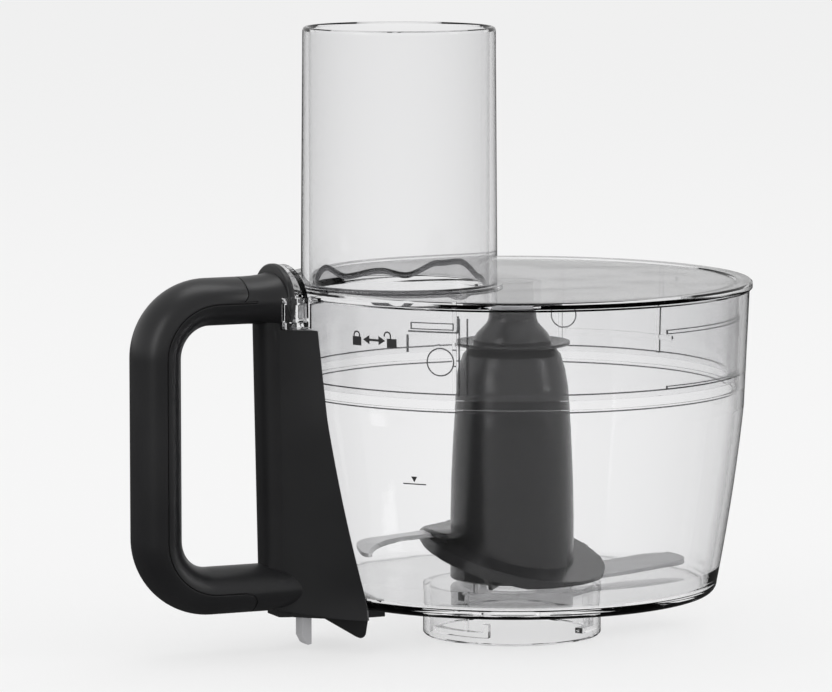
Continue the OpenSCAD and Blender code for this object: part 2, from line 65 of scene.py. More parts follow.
def by_ray(nt, straight, mirrored, out):
    """Shows one shader to the eye and through clear plastic, and another to a mirrored ray"""
    ray = nt.nodes.new("ShaderNodeLightPath")
    both = nt.nodes.new("ShaderNodeMath")
    both.operation = "MULTIPLY"
    either = nt.nodes.new("ShaderNodeMixShader")
    nt.links.new(ray.outputs["Is Glossy Ray"], both.inputs[0])
    nt.links.new(ray.outputs["Is Reflection Ray"], both.inputs[1])
    nt.links.new(both.outputs["Value"], either.inputs["Fac"])
    nt.links.new(straight.outputs[0], either.inputs[1])
    nt.links.new(mirrored.outputs[0], either.inputs[2])
    nt.links.new(either.outputs["Shader"], nt.nodes[out].inputs["Surface"])


bpy.ops.mesh.primitive_grid_add(size=40, x_subdivisions=8, y_subdivisions=8, location=(0, 0, -0.0003))
table = bpy.context.object
table.name = "table"
matt = bpy.data.materials.new("pale_table")
matt.use_nodes = True
nt = matt.node_tree
paint = nt.nodes["Principled BSDF"]
paint.inputs["Base Color"].default_value = (0.22, 0.22, 0.22, 1)
paint.inputs["Roughness"].default_value = 0.95
paint.inputs["Specular IOR Level"].default_value = 0.0
paint.inputs["Emission Color"].default_value = (1, 1, 1, 1)
paint.inputs["Emission Strength"].default_value = 0.67
dim = nt.nodes.new("ShaderNodeEmission")
dim.inputs["Color"].default_value = (0.05, 0.05, 0.05, 1)
by_ray(nt, paint, dim, "Material Output")
table.data.materials.append(matt)

sky = bpy.data.worlds.new("sky")
sky.use_nodes = True
nt = sky.node_tree
plain = nt.nodes["Background"]
plain.inputs["Color"].default_value = (1, 1, 1, 1)
plain.inputs["Strength"].default_value = 0.9
seen = nt.nodes.new("ShaderNodeBackground")
seen.inputs["Strength"].default_value = 1.0
place = nt.nodes.new("ShaderNodeTexCoord")
split = nt.nodes.new("ShaderNodeSeparateXYZ")
rise = nt.nodes.new("ShaderNodeValToRGB")
rise.color_ramp.elements[0].position = 0.0
rise.color_ramp.elements[0].color = (0.7, 0.7, 0.7, 1)
rise.color_ramp.elements[1].position = 0.45
rise.color_ramp.elements[1].color = (0.42, 0.42, 0.42, 1)
nt.links.new(place.outputs["Generated"], split.inputs["Vector"])
nt.links.new(split.outputs["Z"], rise.inputs["Fac"])
nt.links.new(rise.outputs["Color"], seen.inputs["Color"])
by_ray(nt, plain, seen, "World Output")
bpy.context.scene.world = sky


def soft_box(name, place, size, power):
    """A rectangular lamp that faces the middle of the bowl"""
    bowl_middle = 0.12
    x, y, z = -place[0], -place[1], bowl_middle - place[2]
    bpy.ops.object.light_add(type="AREA", location=place,
                             rotation=(math.atan2(math.hypot(x, y), -z), 0, math.atan2(-x, y)))
    lamp = bpy.context.object
    lamp.name = name
    lamp.data.shape = "RECTANGLE"
    lamp.data.size, lamp.data.size_y = size
    lamp.data.energy = power


soft_box("box_left", (-2.2, -0.6, 1.1), (0.7, 1.8), 9)
soft_box("box_right", (1.9, -1.5, 1.2), (0.5, 1.8), 8)
soft_box("box_top", (0.3, 0.6, 2.4), (1.8, 1.2), 12)


# ---- Bowl ----
# One clear moulding: tapered wall, straight band, floor, base ring and chimney. The plastic is
# polished, faintly wavy, and greyer where the eye looks along a wall: partly absorption along the
# longer path, partly painted shade for the dark edges that the surroundings draw in clear plastic.
def clear_plastic(name, face, bend, rim, waves_deep):
    """Clear plastic, its colour face on, at a slant, and along the wall, where it greys: partly absorption,
    partly painted shade
    """
    m = bpy.data.materials.new(name)
    m.use_nodes = True
    nt = m.node_tree
    skin = nt.nodes["Principled BSDF"]
    skin.inputs["Transmission Weight"].default_value = 1.0
    skin.inputs["IOR"].default_value = 1.5
    skin.inputs["Roughness"].default_value = 0.015
    skin.inputs["Specular Tint"].default_value = (0.3, 0.3, 0.3, 1)
    edge = nt.nodes.new("ShaderNodeLayerWeight")
    edge.inputs["Blend"].default_value = 0.5
    # Ramp from face-on colour to a dark grey at grazing angles: partly absorption, partly painted shade
    tint_and_shade = nt.nodes.new("ShaderNodeValToRGB")
    tint_and_shade.color_ramp.elements[0].color = (*face, 1)
    tint_and_shade.color_ramp.elements[1].color = (*rim, 1)
    mid = tint_and_shade.color_ramp.elements.new(0.7)
    mid.color = (*bend, 1)
    place = nt.nodes.new("ShaderNodeTexCoord")
    waves = nt.nodes.new("ShaderNodeTexNoise")
    waves.inputs["Scale"].default_value = 22
    waves.inputs["Detail"].default_value = 1
    bump = nt.nodes.new("ShaderNodeBump")
    bump.inputs["Strength"].default_value = waves_deep
    bump.inputs["Distance"].default_value = 0.002
    ray = nt.nodes.new("ShaderNodeLightPath")
    open_way = nt.nodes.new("ShaderNodeBsdfTransparent")
    open_way.inputs["Color"].default_value = (0.93, 0.93, 0.935, 1)
    either = nt.nodes.new("ShaderNodeMixShader")
    nt.links.new(edge.outputs["Facing"], tint_and_shade.inputs["Fac"])
    nt.links.new(tint_and_shade.outputs["Color"], skin.inputs["Base Color"])
    nt.links.new(place.outputs["Object"], waves.inputs["Vector"])
    nt.links.new(waves.outputs["Fac"], bump.inputs["Height"])
    nt.links.new(bump.outputs["Normal"], skin.inputs["Normal"])
    nt.links.new(ray.outputs["Is Shadow Ray"], either.inputs["Fac"])
    nt.links.new(skin.outputs["BSDF"], either.inputs[1])
    nt.links.new(open_way.outputs["BSDF"], either.inputs[2])
    nt.links.new(either.outputs["Shader"], nt.nodes["Material Output"].inputs["Surface"])
    return m


def dress(name, material):
    """Gives a CAD node its material"""
    for place in nodes[name].material_slots:
        place.material = material


moulded_clear = clear_plastic("moulded_clear", (0.975, 0.975, 0.978), (0.86, 0.86, 0.865),
                              (0.16, 0.16, 0.165), 0.05)
dress("bowl", moulded_clear)

# Radius and height of the wall at its foot, at the band's lower end and at the rim, and its belly
foot_r, foot_z = 0.0824, 0.0218
band_r, band_z = 0.0928, 0.093
rim_r, rim_z = 0.0948, 0.1394
belly = 0.0008


def wall_radius(z):
    """Outer radius of the bowl at height z"""
    if z >= band_z:
        return band_r + (rim_r - band_r) * (z - band_z) / (rim_z - band_z)
    t = (z - foot_z) / (band_z - foot_z)
    return foot_r + (band_r - foot_r) * t + 4 * belly * t * (1 - t)


# ---- Marks printed on the bowl ----
# Lock signs with a double arrow, and a fill line with a small pointer, pad-printed in black ink.
# Each is drawn flat, then laid on the wall a twentieth of a millimetre proud.
mm = 0.001
ink = bpy.data.materials.new("black_ink")
ink.use_nodes = True
nt = ink.node_tree
place = nt.nodes.new("ShaderNodeTexCoord")
specks = nt.nodes.new("ShaderNodeTexNoise")
specks.inputs["Scale"].default_value = 3000
shade = nt.nodes.new("ShaderNodeValToRGB")
shade.color_ramp.elements[0].color = (0.012, 0.012, 0.013, 1)
shade.color_ramp.elements[1].color = (0.035, 0.035, 0.036, 1)
nt.links.new(place.outputs["Object"], specks.inputs["Vector"])
nt.links.new(specks.outputs["Fac"], shade.inputs["Fac"])
nt.links.new(shade.outputs["Color"], nt.nodes["Principled BSDF"].inputs["Base Color"])
nt.nodes["Principled BSDF"].inputs["Roughness"].default_value = 0.55


def bar(x, y, wide, high):
    """A flat oblong, cut into strips so that it can follow the wall"""
    deselect()
    bpy.ops.mesh.primitive_grid_add(x_subdivisions=6, y_subdivisions=1, size=1, location=(x, y, 0))
    bpy.context.object.scale = (wide, high, 1)
    bpy.ops.object.transform_apply(location=True, rotation=True, scale=True)
    return bpy.context.object


def hoop(x, y, out_r, wire, legs):
    """The shackle of a padlock: half a flat ring on two legs"""
    deselect()
    bpy.ops.mesh.primitive_plane_add(size=wire, location=(x + out_r - wire / 2, y, 0))
    bpy.ops.object.mode_set(mode="EDIT")
    bpy.ops.mesh.select_mode(type="EDGE")
    bpy.ops.mesh.select_all(action="DESELECT")
    bm = bmesh.from_edit_mesh(bpy.context.object.data)
    for e in bm.edges:
        e.select = all(v.co.y > 0 for v in e.verts)
    bm.select_flush_mode()
    bmesh.update_edit_mesh(bpy.context.object.data)
    bpy.ops.mesh.spin(steps=12, angle=-math.pi, center=(x, y + wire / 2, 0), axis=(0, 0, 1))
    bpy.ops.mesh.extrude_region_move(TRANSFORM_OT_translate={"value": (0, -legs, 0)})
    bpy.ops.object.mode_set(mode="OBJECT")
    bpy.ops.object.transform_apply(location=True, rotation=True, scale=True)
    return bpy.context.object


def arrow_head(x, y, size, way):
    """A triangle that points left at -1, right at 1 and down at 2"""
    deselect()
    bpy.ops.mesh.primitive_circle_add(vertices=3, radius=size, fill_type="NGON", location=(x, y, 0),
                                      rotation=(0, 0, -way * math.pi / 2))
    bpy.ops.object.transform_apply(location=True, rotation=True, scale=True)
    return bpy.context.object


def print_on_wall(name, shapes, angle, height):
    """Joins flat shapes and lays them on the bowl's wall round a place"""
    deselect()
    for s in shapes:
        s.select_set(True)
    bpy.context.view_layer.objects.active = shapes[0]
    bpy.ops.object.join()
    mark = bpy.context.object
    mark.name = name
    proud, film = 0.05 * mm, 0.04 * mm
    for v in mark.data.vertices:
        z = height + v.co.y
        r = wall_radius(z) + proud
        turn = math.radians(angle) + v.co.x / r
        v.co = (r * math.cos(turn), r * math.sin(turn), z)
    thick = mark.modifiers.new("ink", "SOLIDIFY")
    thick.thickness = film
    bpy.ops.object.modifier_apply(modifier="ink")
    mark.data.materials.clear()
    mark.data.materials.append(ink)
    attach(mark, "bowl")


def lock_body():
    """The body of a padlock"""
    return bar(0, -1.3 * mm, 4.4 * mm, 3.5 * mm)


print_on_wall("mark_locked", [lock_body(), hoop(0, 0.7 * mm, 1.7 * mm, 0.6 * mm, 0.6 * mm)], -154.7, 0.1273)
print_on_wall("mark_open", [lock_body(), hoop(-1.9 * mm, 1.3 * mm, 1.7 * mm, 0.6 * mm, 0.4 * mm),
                            bar(-0.5 * mm, 0.7 * mm, 0.6 * mm, 1.2 * mm)], -144.6, 0.1273)
print_on_wall("mark_arrows", [bar(0, 0, 4.6 * mm, 0.9 * mm), arrow_head(-3.2 * mm, 0, 2.1 * mm, -1),
                              arrow_head(3.2 * mm, 0, 2.1 * mm, 1)], -149.6, 0.1268)
print_on_wall("mark_fill_line", [bar(0, 0, 9.8 * mm, 0.45 * mm), arrow_head(0, 2.2 * mm, 1.5 * mm, 2)],
              -139.7, 0.0713)


# ---- Handle ----
# Black satin plastic: a spine casing along the bowl's wall, two arms and the inner half of a
# hollow grip in one moulding. The loop is an oval tube bent through two right angles.
def satin(name, low, high, rough_low, rough_high, grain, depth, metal=0.0, stretch=(1, 1, 1)):
    """Plastic or metal with a fine grain in its colour, gloss and surface"""
    m = bpy.data.materials.new(name)
    m.use_nodes = True
    nt = m.node_tree
    skin = nt.nodes["Principled BSDF"]
    place = nt.nodes.new("ShaderNodeTexCoord")
    along = nt.nodes.new("ShaderNodeMapping")
    along.inputs["Scale"].default_value = stretch
    cloud = nt.nodes.new("ShaderNodeTexNoise")
    cloud.inputs["Scale"].default_value = 25
    cloud.inputs["Detail"].default_value = 4
    shade = nt.nodes.new("ShaderNodeValToRGB")
    shade.color_ramp.elements[0].position = 0.3
    shade.color_ramp.elements[1].position = 0.7
    shade.color_ramp.elements[0].color = (*low, 1)
    shade.color_ramp.elements[1].color = (*high, 1)
    gloss = nt.nodes.new("ShaderNodeMapRange")
    gloss.inputs["To Min"].default_value = rough_low
    gloss.inputs["To Max"].default_value = rough_high
    fine = nt.nodes.new("ShaderNodeTexNoise")
    fine.inputs["Scale"].default_value = grain
    fine.inputs["Detail"].default_value = 2
    bump = nt.nodes.new("ShaderNodeBump")
    bump.inputs["Strength"].default_value = depth
    bump.inputs["Distance"].default_value = 0.0002
    nt.links.new(place.outputs["Object"], along.inputs["Vector"])
    nt.links.new(along.outputs["Vector"], cloud.inputs["Vector"])
    nt.links.new(along.outputs["Vector"], fine.inputs["Vector"])
    nt.links.new(cloud.outputs["Fac"], shade.inputs["Fac"])
    nt.links.new(cloud.outputs["Fac"], gloss.inputs["Value"])
    nt.links.new(fine.outputs["Fac"], bump.inputs["Height"])
    nt.links.new(shade.outputs["Color"], skin.inputs["Base Color"])
    nt.links.new(gloss.outputs["Result"], skin.inputs["Roughness"])
    nt.links.new(bump.outputs["Normal"], skin.inputs["Normal"])
    skin.inputs["Metallic"].default_value = metal
    return m


handle_black = satin("handle_black", (0.009, 0.009, 0.01), (0.014, 0.014, 0.015), 0.32, 0.4, 900, 0.05)

# Grip oval: half its depth and half its width. Then the arms' heights, and where the loop bends
grip_deep, grip_wide = 0.0093, 0.014
arm_top, arm_low, bend_x, bend_r = 0.1393, 0.0252, -0.132, 0.0215
loop_middle = 0.08
# Where the arms leave the spine, where the grip's cover ends on each arm, and its corners and groove
root_x, low_root = -0.1046, -0.096
top_end, low_end, corner_r, gap = -0.1192, -0.1160, 0.0048, 0.00016
touch = 0.00001


def take(piece):
    """Selects one piece alone and makes it the active one"""
    deselect()
    piece.select_set(True)
    bpy.context.view_layer.objects.active = piece


def apply_steps(piece):
    """Applies a piece's modifiers in their order"""
    take(piece)
    for step in list(piece.modifiers):
        bpy.ops.object.modifier_apply(modifier=step.name)


def give_wall(piece, thickness):
    """Gives an open shell a wall, on its inner side"""
    wall = piece.modifiers.new("wall", "SOLIDIFY")
    wall.thickness = thickness
    wall.offset = -1


def soften(piece, width, segments, sharp):
    """Rounds the edges of a piece that are sharper than an angle"""
    edge = piece.modifiers.new("edge", "BEVEL")
    edge.width = width
    edge.segments = segments
    edge.limit_method = "ANGLE"
    edge.angle_limit = math.radians(sharp)


def finish_piece(piece, material, body, slot, angle, *stands_for):
    """Applies a piece's modifiers, smooths it, gives it its material and fixes it to its body"""
    apply_steps(piece)
    bpy.ops.object.shade_smooth_by_angle(angle=math.radians(angle))
    piece.data.materials.clear()
    piece.data.materials.append(material)
    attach(piece, body)
    if stands_for:
        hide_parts(*stands_for)


def loop_tube(name, rings, inset):
    """The handle's oval tube, from the rings of its upper root round to the end of its lower arm"""
    deselect()
    x, deep, wide = rings[0]
    bpy.ops.mesh.primitive_circle_add(vertices=96, radius=1, fill_type="NOTHING")
    tube = bpy.context.object
    tube.name = name
    for v in tube.data.vertices:
        v.co = (x, v.co.y * (wide - inset), arm_top + v.co.x * (deep - inset))
    bpy.ops.object.mode_set(mode="EDIT")
    bpy.ops.mesh.select_all(action="SELECT")
    for (x0, deep0, wide0), (x1, deep1, wide1) in zip(rings, rings[1:]):
        bpy.ops.mesh.extrude_region_move(TRANSFORM_OT_translate={"value": (x1 - x0, 0, 0)})
        grow = (1, (wide1 - inset) / (wide0 - inset), (deep1 - inset) / (deep0 - inset))
        bpy.ops.transform.resize(value=grow, center_override=(x1, 0, arm_top))
    bpy.ops.mesh.spin(steps=24, angle=math.pi / 2, center=(bend_x, 0, arm_top - bend_r), axis=(0, 1, 0))
    bpy.ops.mesh.extrude_region_move(TRANSFORM_OT_translate={"value": (0, 0, arm_low - arm_top + 2 * bend_r)})
    bpy.ops.mesh.spin(steps=24, angle=math.pi / 2, center=(bend_x, 0, arm_low + bend_r), axis=(0, 1, 0))
    for x0, x1 in ((bend_x, low_end), (low_end, low_root)):
        bpy.ops.mesh.extrude_region_move(TRANSFORM_OT_translate={"value": (x1 - x0, 0, 0)})
    bpy.ops.mesh.select_all(action="SELECT")
    bpy.ops.mesh.remove_doubles(threshold=touch)
    bpy.ops.mesh.normals_make_consistent(inside=False)
    bpy.ops.object.mode_set(mode="OBJECT")
    return tube


def past_seam(p):
    """How far a point lies outside the loop's mid-plane, where the two halves meet"""
    if p.x > bend_x:
        return p.z - arm_top if p.z > (arm_top + arm_low) / 2 else arm_low - p.z
    if p.z > arm_top - bend_r:
        return math.hypot(p.x - bend_x, p.z - arm_top + bend_r) - bend_r
    if p.z < arm_low + bend_r:
        return math.hypot(p.x - bend_x, p.z - arm_low - bend_r) - bend_r
    return bend_x - bend_r - p.x


def outward(p):
    """Direction out of the loop at a point"""
    if p.x > bend_x:
        return Vector((0, 0, 1 if p.z > (arm_top + arm_low) / 2 else -1))
    middle = Vector((bend_x, 0, min(max(p.z, arm_low + bend_r), arm_top - bend_r)))
    return Vector((p.x - middle.x, 0, p.z - middle.z)).normalized()


def round_corners(tube):
    """Draws the cover's two end lines back where they come to the seam"""
    for v in tube.data.vertices:
        end = top_end if v.co.z > loop_middle else low_end
        up = past_seam(v.co)
        if abs(v.co.x - end) < touch and up > -touch:
            along = grip_deep * math.asin(min(1, up / grip_deep))
            near = min(max(corner_r - along, 0), corner_r)
            v.co.x -= corner_r - math.sqrt(corner_r ** 2 - near ** 2)


def open_gap(piece, way):
    """Draws a half back from the seam and from the cover's ends, to leave a fine groove"""
    bpy.ops.object.mode_set(mode="EDIT")
    bpy.ops.mesh.select_mode(type="EDGE")
    bpy.ops.mesh.select_all(action="DESELECT")
    bpy.ops.mesh.select_non_manifold(extend=False)
    bpy.ops.object.mode_set(mode="OBJECT")
    at_root, on_seam = 0.002, 0.0004
    for v in piece.data.vertices:
        if v.select and root_x - v.co.x > at_root:
            if abs(past_seam(v.co)) < on_seam:
                v.co += outward(v.co) * way * gap
            else:
                v.co.x -= way * gap


# The upper arm swells to its root. Each ring has its place, half its depth and half its width
flare = [(root_x, 0.0106, 0.0177), (-0.1065, 0.0101, 0.0163), (-0.109, 0.0097, 0.0151),
         (-0.1125, 0.0094, 0.0143), (-0.116, grip_deep, grip_wide), (top_end, grip_deep, grip_wide),
         (bend_x, grip_deep, grip_wide)]
handle = loop_tube("handle", flare, 0)
round_corners(handle)
take(handle)
bpy.ops.object.mode_set(mode="EDIT")
bpy.ops.mesh.select_mode(type="FACE")
bpy.ops.mesh.select_all(action="DESELECT")
bm = bmesh.from_edit_mesh(handle.data)
for f in bm.faces:
    spot = f.calc_center_median()
    f.select = past_seam(spot) > 0 and spot.x < (top_end if spot.z > loop_middle else low_end)
bmesh.update_edit_mesh(handle.data)
bpy.ops.mesh.separate(type="SELECTED")
bpy.ops.object.mode_set(mode="OBJECT")
cover = [o for o in bpy.context.selected_objects if o != handle][0]
cover.name = "grip_shell"
for half_shell, way in ((handle, -1), (cover, 1)):
    take(half_shell)
    open_gap(half_shell, way)
    give_wall(half_shell, 0.0016)
    soften(half_shell, 0.0003, 2, 50)

# A plain inner tube closes the groove from below
core = loop_tube("core", [(root_x + 0.002, grip_deep, grip_wide), (bend_x, grip_deep, grip_wide)], 0.0007)

# Spine: a round nose, a crease down each side of it, and flanks that flare to the bowl's wall.
# Each pair is a value at the spine's foot and at its top
nose_r, nose_span, nose_parts, spine_rows = 0.010, 70, 30, 24
nose_x = (-0.0993, -0.1017)
flank_y = (0.031, 0.019)
spine_z = (0.014, 0.128)
flank_parts = (0.2, 0.4, 0.6, 0.8, 1)
off_wall = 0.0004
# The foot's outline rises towards the nose, from where it leaves the bowl
nose_lift, lift_from, lift_over = 0.003, 0.084, 0.025
columns = [("flank", -f) for f in reversed(flank_parts)]
columns += [("nose", -nose_span + 2 * nose_span * i / nose_parts) for i in range(nose_parts + 1)]
columns += [("flank", f) for f in flank_parts]
last_col = len(columns) - 1
deselect()
bpy.ops.mesh.primitive_grid_add(x_subdivisions=last_col, y_subdivisions=spine_rows + 1, size=1)
spine = bpy.context.object
spine.name = "spine"
for v in spine.data.vertices:
    col = round((v.co.x + 0.5) * last_col)
    row = round((v.co.y + 0.5) * (spine_rows + 1))
    t = min(row / spine_rows, 1)
    kind, where = columns[col]
    nose_mid, half, z = (low + (high - low) * t for low, high in (nose_x, flank_y, spine_z))
    a = math.radians(where if kind == "nose" else math.copysign(nose_span, where))
    x, y = nose_mid - nose_r * math.cos(a), nose_r * math.sin(a)
    if kind == "flank":
        back = -math.sqrt((wall_radius(max(z, foot_z)) + off_wall) ** 2 - half * half)
        x, y = x + (back - x) * abs(where), y + (math.copysign(half, where) - y) * abs(where)
    lift = nose_lift * max(0, 1 - t * spine_rows / 2) * max(0, (-x - lift_from) / lift_over)
    if row > spine_rows:
        # The last row lies on the bowl's wall, so that the casing is closed on top
        y = half * (2 * col / last_col - 1)
        x = -math.sqrt((wall_radius(z) + off_wall) ** 2 - y * y)
    v.co = (x, y, z + lift)
front = min(spine.data.polygons, key=lambda f: f.center.x)
if front.normal.x > 0:
    bpy.ops.object.mode_set(mode="EDIT")
    bpy.ops.mesh.select_all(action="SELECT")
    bpy.ops.mesh.flip_normals()
    bpy.ops.object.mode_set(mode="OBJECT")
give_wall(spine, 0.0022)
soften(spine, 0.0004, 2, 60)

# The guide of the push rod stands in a square hole in the casing's top
deselect()
rod_x, rod_y, hole_middle = -0.0986, -0.0045, 0.126
bpy.ops.mesh.primitive_cube_add(size=1, location=(rod_x, rod_y, hole_middle))
hole = bpy.context.object
hole.scale = (0.0065, 0.0091, 0.012)
bpy.ops.object.transform_apply(location=True, rotation=True, scale=True)
cut = spine.modifiers.new("rod_hole", "BOOLEAN")
cut.operation = "DIFFERENCE"
cut.solver = "EXACT"
cut.object = hole

# Root of the upper arm: the nose runs on up into it
deselect()
bpy.ops.mesh.primitive_cylinder_add(vertices=96, radius=nose_r, depth=arm_top - spine_z[1] + 0.001,
                                    location=(nose_x[1], 0, (arm_top + spine_z[1]) / 2))
root = bpy.context.object
bpy.ops.object.transform_apply(location=True, rotation=True, scale=True)
bpy.ops.object.mode_set(mode="EDIT")
bpy.ops.mesh.select_all(action="SELECT")
bpy.ops.mesh.bisect(plane_co=(root_x, 0, 0), plane_no=(1, 0, 0), use_fill=True, clear_outer=True)
bpy.ops.object.mode_set(mode="OBJECT")

for part in (handle, core, spine, root):
    apply_steps(part)
bpy.data.objects.remove(hole)
deselect()
for part in (handle, core, spine, root):
    part.select_set(True)
bpy.context.view_layer.objects.active = handle
bpy.ops.object.join()
finish_piece(handle, handle_black, "bowl", "black_plastic", 14, "handle_body")
finish_piece(cover, handle_black, "bowl", "black_plastic", 30, "grip_cover")


# ---- Thumb guard and foot ----
# A black arched plate stands across the arm's root and keeps the thumb off the lid. The foot is a
# black plate that closes the spine from below, with a fin that finds the motor base; two screws hold it.
deselect()
bpy.ops.mesh.primitive_cylinder_add(vertices=120, radius=1, depth=0.0029, location=(-0.10315, 0, arm_top),
                                    rotation=(0, math.pi / 2, 0))
guard = bpy.context.object
guard.name = "guard"
bpy.ops.object.transform_apply(location=False, rotation=True, scale=False)
guard.scale = (1, 0.0185, 0.0138)
bpy.ops.object.transform_apply(location=True, rotation=True, scale=True)
bpy.ops.object.mode_set(mode="EDIT")
bpy.ops.mesh.select_all(action="SELECT")
bpy.ops.mesh.bisect(plane_co=(0, 0, 0.12805), plane_no=(0, 0, 1), use_fill=True, clear_inner=True)
bpy.ops.object.mode_set(mode="OBJECT")
soften(guard, 0.0008, 3, 40)
finish_piece(guard, handle_black, "bowl", "black_plastic", 35, "thumb_guard")

dress("handle_foot", handle_black)
bright_steel = satin("bright_steel", (0.55, 0.55, 0.56), (0.66, 0.66, 0.67), 0.18, 0.3, 1500, 0.1, 1.0)
dress("foot_screws", bright_steel)


# ---- Interlock ----
# A grey acetal push rod runs up the spine, through a guide at the top. The lid's cam presses it
# down against a steel spring, and its lower end then reaches the motor base's switch.
plain_grey = satin("plain_grey", (0.36, 0.36, 0.37), (0.43, 0.43, 0.44), 0.42, 0.52, 700, 0.12)
for name in ("interlock_rod", "rod_guide", "spring_washer"):
    dress(name, plain_grey)
dress("interlock_spring", bright_steel)


# ---- Chimney sleeve ----
# A grey acetal bearing, pressed on top of the bowl's chimney. It carries the knife's hub, which
# turns on it.
dress("chimney_sleeve", plain_grey)


# ---- Knife hub ----
# A tall black moulding with a dished collar and a domed cap, a splined insert for the motor shaft,
# and a steel pin on top. Hub, collar, cap and blade carrier are polished black.
hub_black = satin("hub_black", (0.005, 0.005, 0.0055), (0.008, 0.008, 0.0085), 0.22, 0.3, 800, 0.02)
for name in ("knife_hub", "hub_collar", "hub_cap", "blade_carrier"):
    dress(name, hub_black)
dress("drive_socket", plain_grey)
dress("hub_pin", bright_steel)


# ---- Blades ----
# Two sickle blades stamped from 1.6 mm stainless sheet, held in the tilted carrier disc. The hollow
# edge of each is ground to a bevel, and the flat faces keep a fine rolled grain.
blade_t, hub_r, bevel_wide, edge_left = 0.0016, 0.0248, 0.0011, 0.0003


def curve_points(a, b, c, d, count):
    """Points along a cubic curve, without its first point"""
    out = []
    for i in range(1, count + 1):
        t = i / count
        s = 1 - t
        out.append(tuple(s ** 3 * a[k] + 3 * s * s * t * b[k] + 3 * s * t * t * c[k] + t ** 3 * d[k]
                         for k in (0, 1)))
    return out


def sickle(name, outline, first_cut, last_cut, heading, height, droop, roll, material, stands_for):
    """A blade from its outline in millimetres, heading out along x, with the bevel between two points"""
    deselect()
    bpy.ops.mesh.primitive_circle_add(vertices=len(outline), radius=1, fill_type="NGON")
    blade = bpy.context.object
    blade.name = name
    for v, (x, y) in zip(blade.data.vertices, outline):
        v.co = (x * mm, y * mm, 0)
    cut = outline[first_cut:last_cut + 1]
    bpy.ops.object.mode_set(mode="EDIT")
    bpy.ops.mesh.select_all(action="SELECT")
    bpy.ops.mesh.normals_make_consistent(inside=False)
    bpy.ops.mesh.extrude_region_move(TRANSFORM_OT_translate={"value": (0, 0, blade_t)})
    bpy.ops.mesh.inset(thickness=bevel_wide)
    bm = bmesh.from_edit_mesh(blade.data)
    for v in bm.verts:
        on_cut = min(math.hypot(v.co.x - x * mm, v.co.y - y * mm) for x, y in cut) < touch
        if v.co.z > blade_t / 2 and on_cut:
            v.co.z = edge_left
    bmesh.update_edit_mesh(blade.data)
    bpy.ops.mesh.select_all(action="SELECT")
    bpy.ops.mesh.normals_make_consistent(inside=False)
    bpy.ops.object.mode_set(mode="OBJECT")
    fall, turn, roll_axis = math.radians(droop), math.radians(heading), -0.02
    for v in blade.data.vertices:
        x, y, z = v.co.x - hub_r, v.co.y, v.co.z + (v.co.y - roll_axis) * roll
        x, z = x * math.cos(fall) + z * math.sin(fall) + hub_r, z * math.cos(fall) - x * math.sin(fall)
        v.co = (x * math.cos(turn) - y * math.sin(turn), x * math.sin(turn) + y * math.cos(turn), z + height)
    soften(blade, 0.0002, 2, 50)
    finish_piece(blade, material, "knife", "blade_steel", 25, stands_for)


upper = [(22.6, -12.7)] + curve_points((22.6, -12.7), (34, -14.2), (48, -15.2), (60.5, -14.9), 8)
upper += curve_points((60.5, -14.9), (67.5, -14), (71.5, -5), (75.5, 3), 12)
upper += curve_points((75.5, 3), (77.2, 6.5), (79.4, 10.5), (79, 13.4), 6)
upper += curve_points((79, 13.4), (78.8, 14.8), (77.6, 15), (76.8, 13.8), 4)
first = len(upper) - 1
upper += curve_points((76.8, 13.8), (70, 3), (60, -5.5), (48.9, -5.8), 18)
last = len(upper) - 1
upper += [(30, -4.4), (22.2, -4.2)]
rolled = (1, 12, 1)
# The high blade's steel is painted lighter than the low blade's: the same steel, given painted light here
painted_lit_steel = satin("painted_lit_steel", (0.52, 0.52, 0.525), (0.62, 0.62, 0.625), 0.24, 0.36, 1400, 0.25, 0.55,
                    rolled)
sickle("blade_high", upper, first, last, -169, 0.0416, 2.5, 0, painted_lit_steel, "upper_blade")

# The carrier's upper side grips the root of the high blade
deselect()
bpy.ops.mesh.primitive_cylinder_add(vertices=160, radius=0.0364, depth=0.0024, location=(0, 0, 0.0427))
clamp = bpy.context.object
clamp.name = "blade_clamp"
bpy.ops.object.transform_apply(location=True, rotation=True, scale=True)
bpy.ops.object.mode_set(mode="EDIT")
for side, spread in ((-1, 24), (1, 10)):
    turn = math.radians(-169 + side * spread)
    bpy.ops.mesh.select_all(action="SELECT")
    bpy.ops.mesh.bisect(plane_co=(0, 0, 0.043), plane_no=(-side * math.sin(turn), side * math.cos(turn), 0),
                        use_fill=True, clear_outer=True)
bpy.ops.object.mode_set(mode="OBJECT")
soften(clamp, 0.001, 3, 40)
finish_piece(clamp, hub_black, "knife", "hub_plastic", 35)

lower = [(22, -21)] + curve_points((22, -21), (38, -19.5), (52, -13.5), (66, -9.5), 8)
lower += curve_points((66, -9.5), (74.5, -8.5), (77.5, -4), (77, 1), 10)
lower += curve_points((77, 1), (76.4, 5), (75, 8.4), (72.6, 8.6), 6)
first = len(lower) - 1
lower += curve_points((72.6, 8.6), (64, 8.4), (54, 7.2), (46, 4), 12)
last = len(lower) - 1
lower += [(38, 1), (30, 0), (22, -0.8)]
# The low blade's steel is painted darker: painted shade on the same steel as the high blade
painted_shade_steel = satin("painted_shade_steel", (0.33, 0.33, 0.335), (0.4, 0.4, 0.405), 0.28, 0.4, 1400, 0.25, 0.55, rolled)
sickle("blade_low", lower, first, last, -1, 0.0231, 0, 0.09, painted_shade_steel, "lower_blade")


